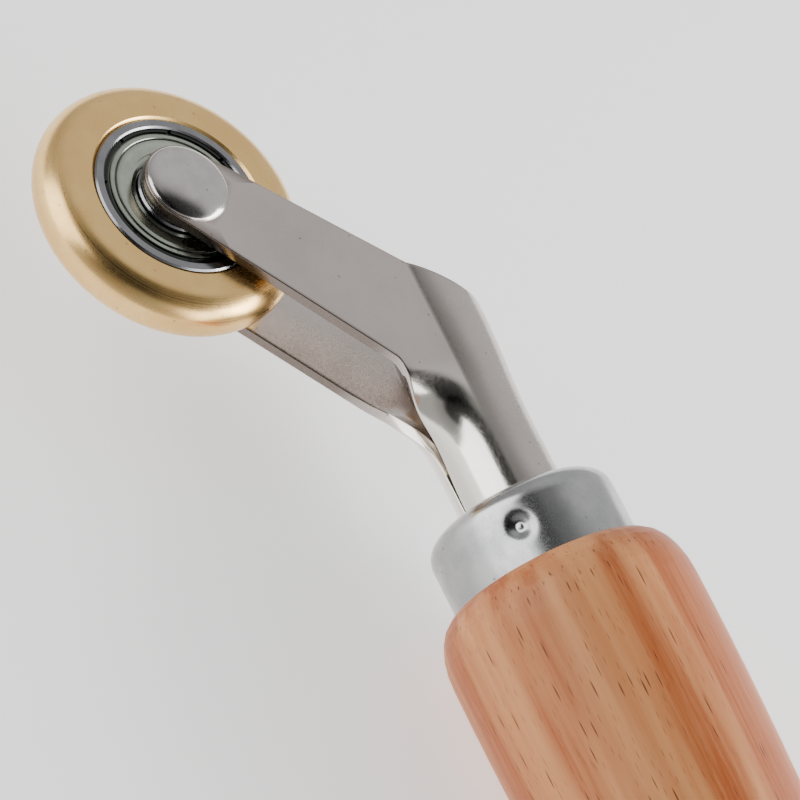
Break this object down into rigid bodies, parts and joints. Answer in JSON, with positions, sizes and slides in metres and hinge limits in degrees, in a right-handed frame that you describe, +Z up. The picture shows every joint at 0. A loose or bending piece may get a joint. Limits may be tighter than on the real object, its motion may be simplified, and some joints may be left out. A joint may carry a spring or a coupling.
{
  "type": "seam roller",
  "caption": "Hand seam roller: a brass wheel on a shielded ball bearing, riveted in an angled sheet-steel fork with a ferruled beech handle.",
  "frame": {"origin": "bottom centre of the whole tool's box, the tool lying on its side", "axes": "+X along the handle towards its butt; +Z up, along the wheel's axle; the wheel leans to -Y"},
  "size_m": [0.1746, 0.0532, 0.0278],
  "materials": {
    "beech": "satin lacquered beech",
    "zinc_steel": "satin zinc plate",
    "fork_steel": "matte plate on flat faces, bright where rolled",
    "rivet_steel": "satin",
    "bearing_steel": "ground and polished",
    "ball_steel": "polished",
    "cage_steel": "pressed",
    "shield_steel": "pressed, satin",
    "brass": "turned and polished"
  },
  "bodies": {
    "holder": {"handle": "beech", "ferrule": "zinc_steel", "fork": "fork_steel", "axle_rivet": "rivet_steel", "spacer_near": "rivet_steel", "spacer_far": "rivet_steel", "bearing_inner_ring": "bearing_steel"},
    "wheel": {"brass_wheel": "brass", "bearing_outer_ring": "bearing_steel", "shield_near": "shield_steel", "shield_far": "shield_steel"},
    "cage": {"cage_half_near": "cage_steel", "cage_half_far": "cage_steel", "cage_rivets": "cage_steel"},
    "ball_1": {"ball_1": "ball_steel"},
    "ball_2": {"ball_2": "ball_steel"},
    "ball_3": {"ball_3": "ball_steel"},
    "ball_4": {"ball_4": "ball_steel"},
    "ball_5": {"ball_5": "ball_steel"},
    "ball_6": {"ball_6": "ball_steel"}
  },
  "joints": [
    {"name": "wheel_spin", "type": "hinge", "parent": "holder", "child": "wheel", "pos_m": [-0.0723, -0.0116, 0.0139], "axis": [0, 0, 1], "continuous": true},
    {"name": "cage_spin", "type": "hinge", "parent": "holder", "child": "cage", "pos_m": [-0.0723, -0.0116, 0.0139], "axis": [0, 0, 1], "continuous": true},
    {"name": "ball_1_spin", "type": "hinge", "parent": "cage", "child": "ball_1", "pos_m": [-0.066, -0.0116, 0.0139], "axis": [0, 0, 1], "continuous": true},
    {"name": "ball_2_spin", "type": "hinge", "parent": "cage", "child": "ball_2", "pos_m": [-0.06915, -0.00614, 0.0139], "axis": [0, 0, 1], "continuous": true},
    {"name": "ball_3_spin", "type": "hinge", "parent": "cage", "child": "ball_3", "pos_m": [-0.07545, -0.00614, 0.0139], "axis": [0, 0, 1], "continuous": true},
    {"name": "ball_4_spin", "type": "hinge", "parent": "cage", "child": "ball_4", "pos_m": [-0.0786, -0.0116, 0.0139], "axis": [0, 0, 1], "continuous": true},
    {"name": "ball_5_spin", "type": "hinge", "parent": "cage", "child": "ball_5", "pos_m": [-0.07545, -0.01706, 0.0139], "axis": [0, 0, 1], "continuous": true},
    {"name": "ball_6_spin", "type": "hinge", "parent": "cage", "child": "ball_6", "pos_m": [-0.06915, -0.01706, 0.0139], "axis": [0, 0, 1], "continuous": true}
  ],
  "couplings": [
    {"joint": "cage_spin", "follows": "wheel_spin", "ratio": 0.63889},
    {"joint": "ball_1_spin", "follows": "wheel_spin", "ratio": 1.6611},
    {"joint": "ball_2_spin", "follows": "wheel_spin", "ratio": 1.6611},
    {"joint": "ball_3_spin", "follows": "wheel_spin", "ratio": 1.6611},
    {"joint": "ball_4_spin", "follows": "wheel_spin", "ratio": 1.6611},
    {"joint": "ball_5_spin", "follows": "wheel_spin", "ratio": 1.6611},
    {"joint": "ball_6_spin", "follows": "wheel_spin", "ratio": 1.6611}
  ]
}
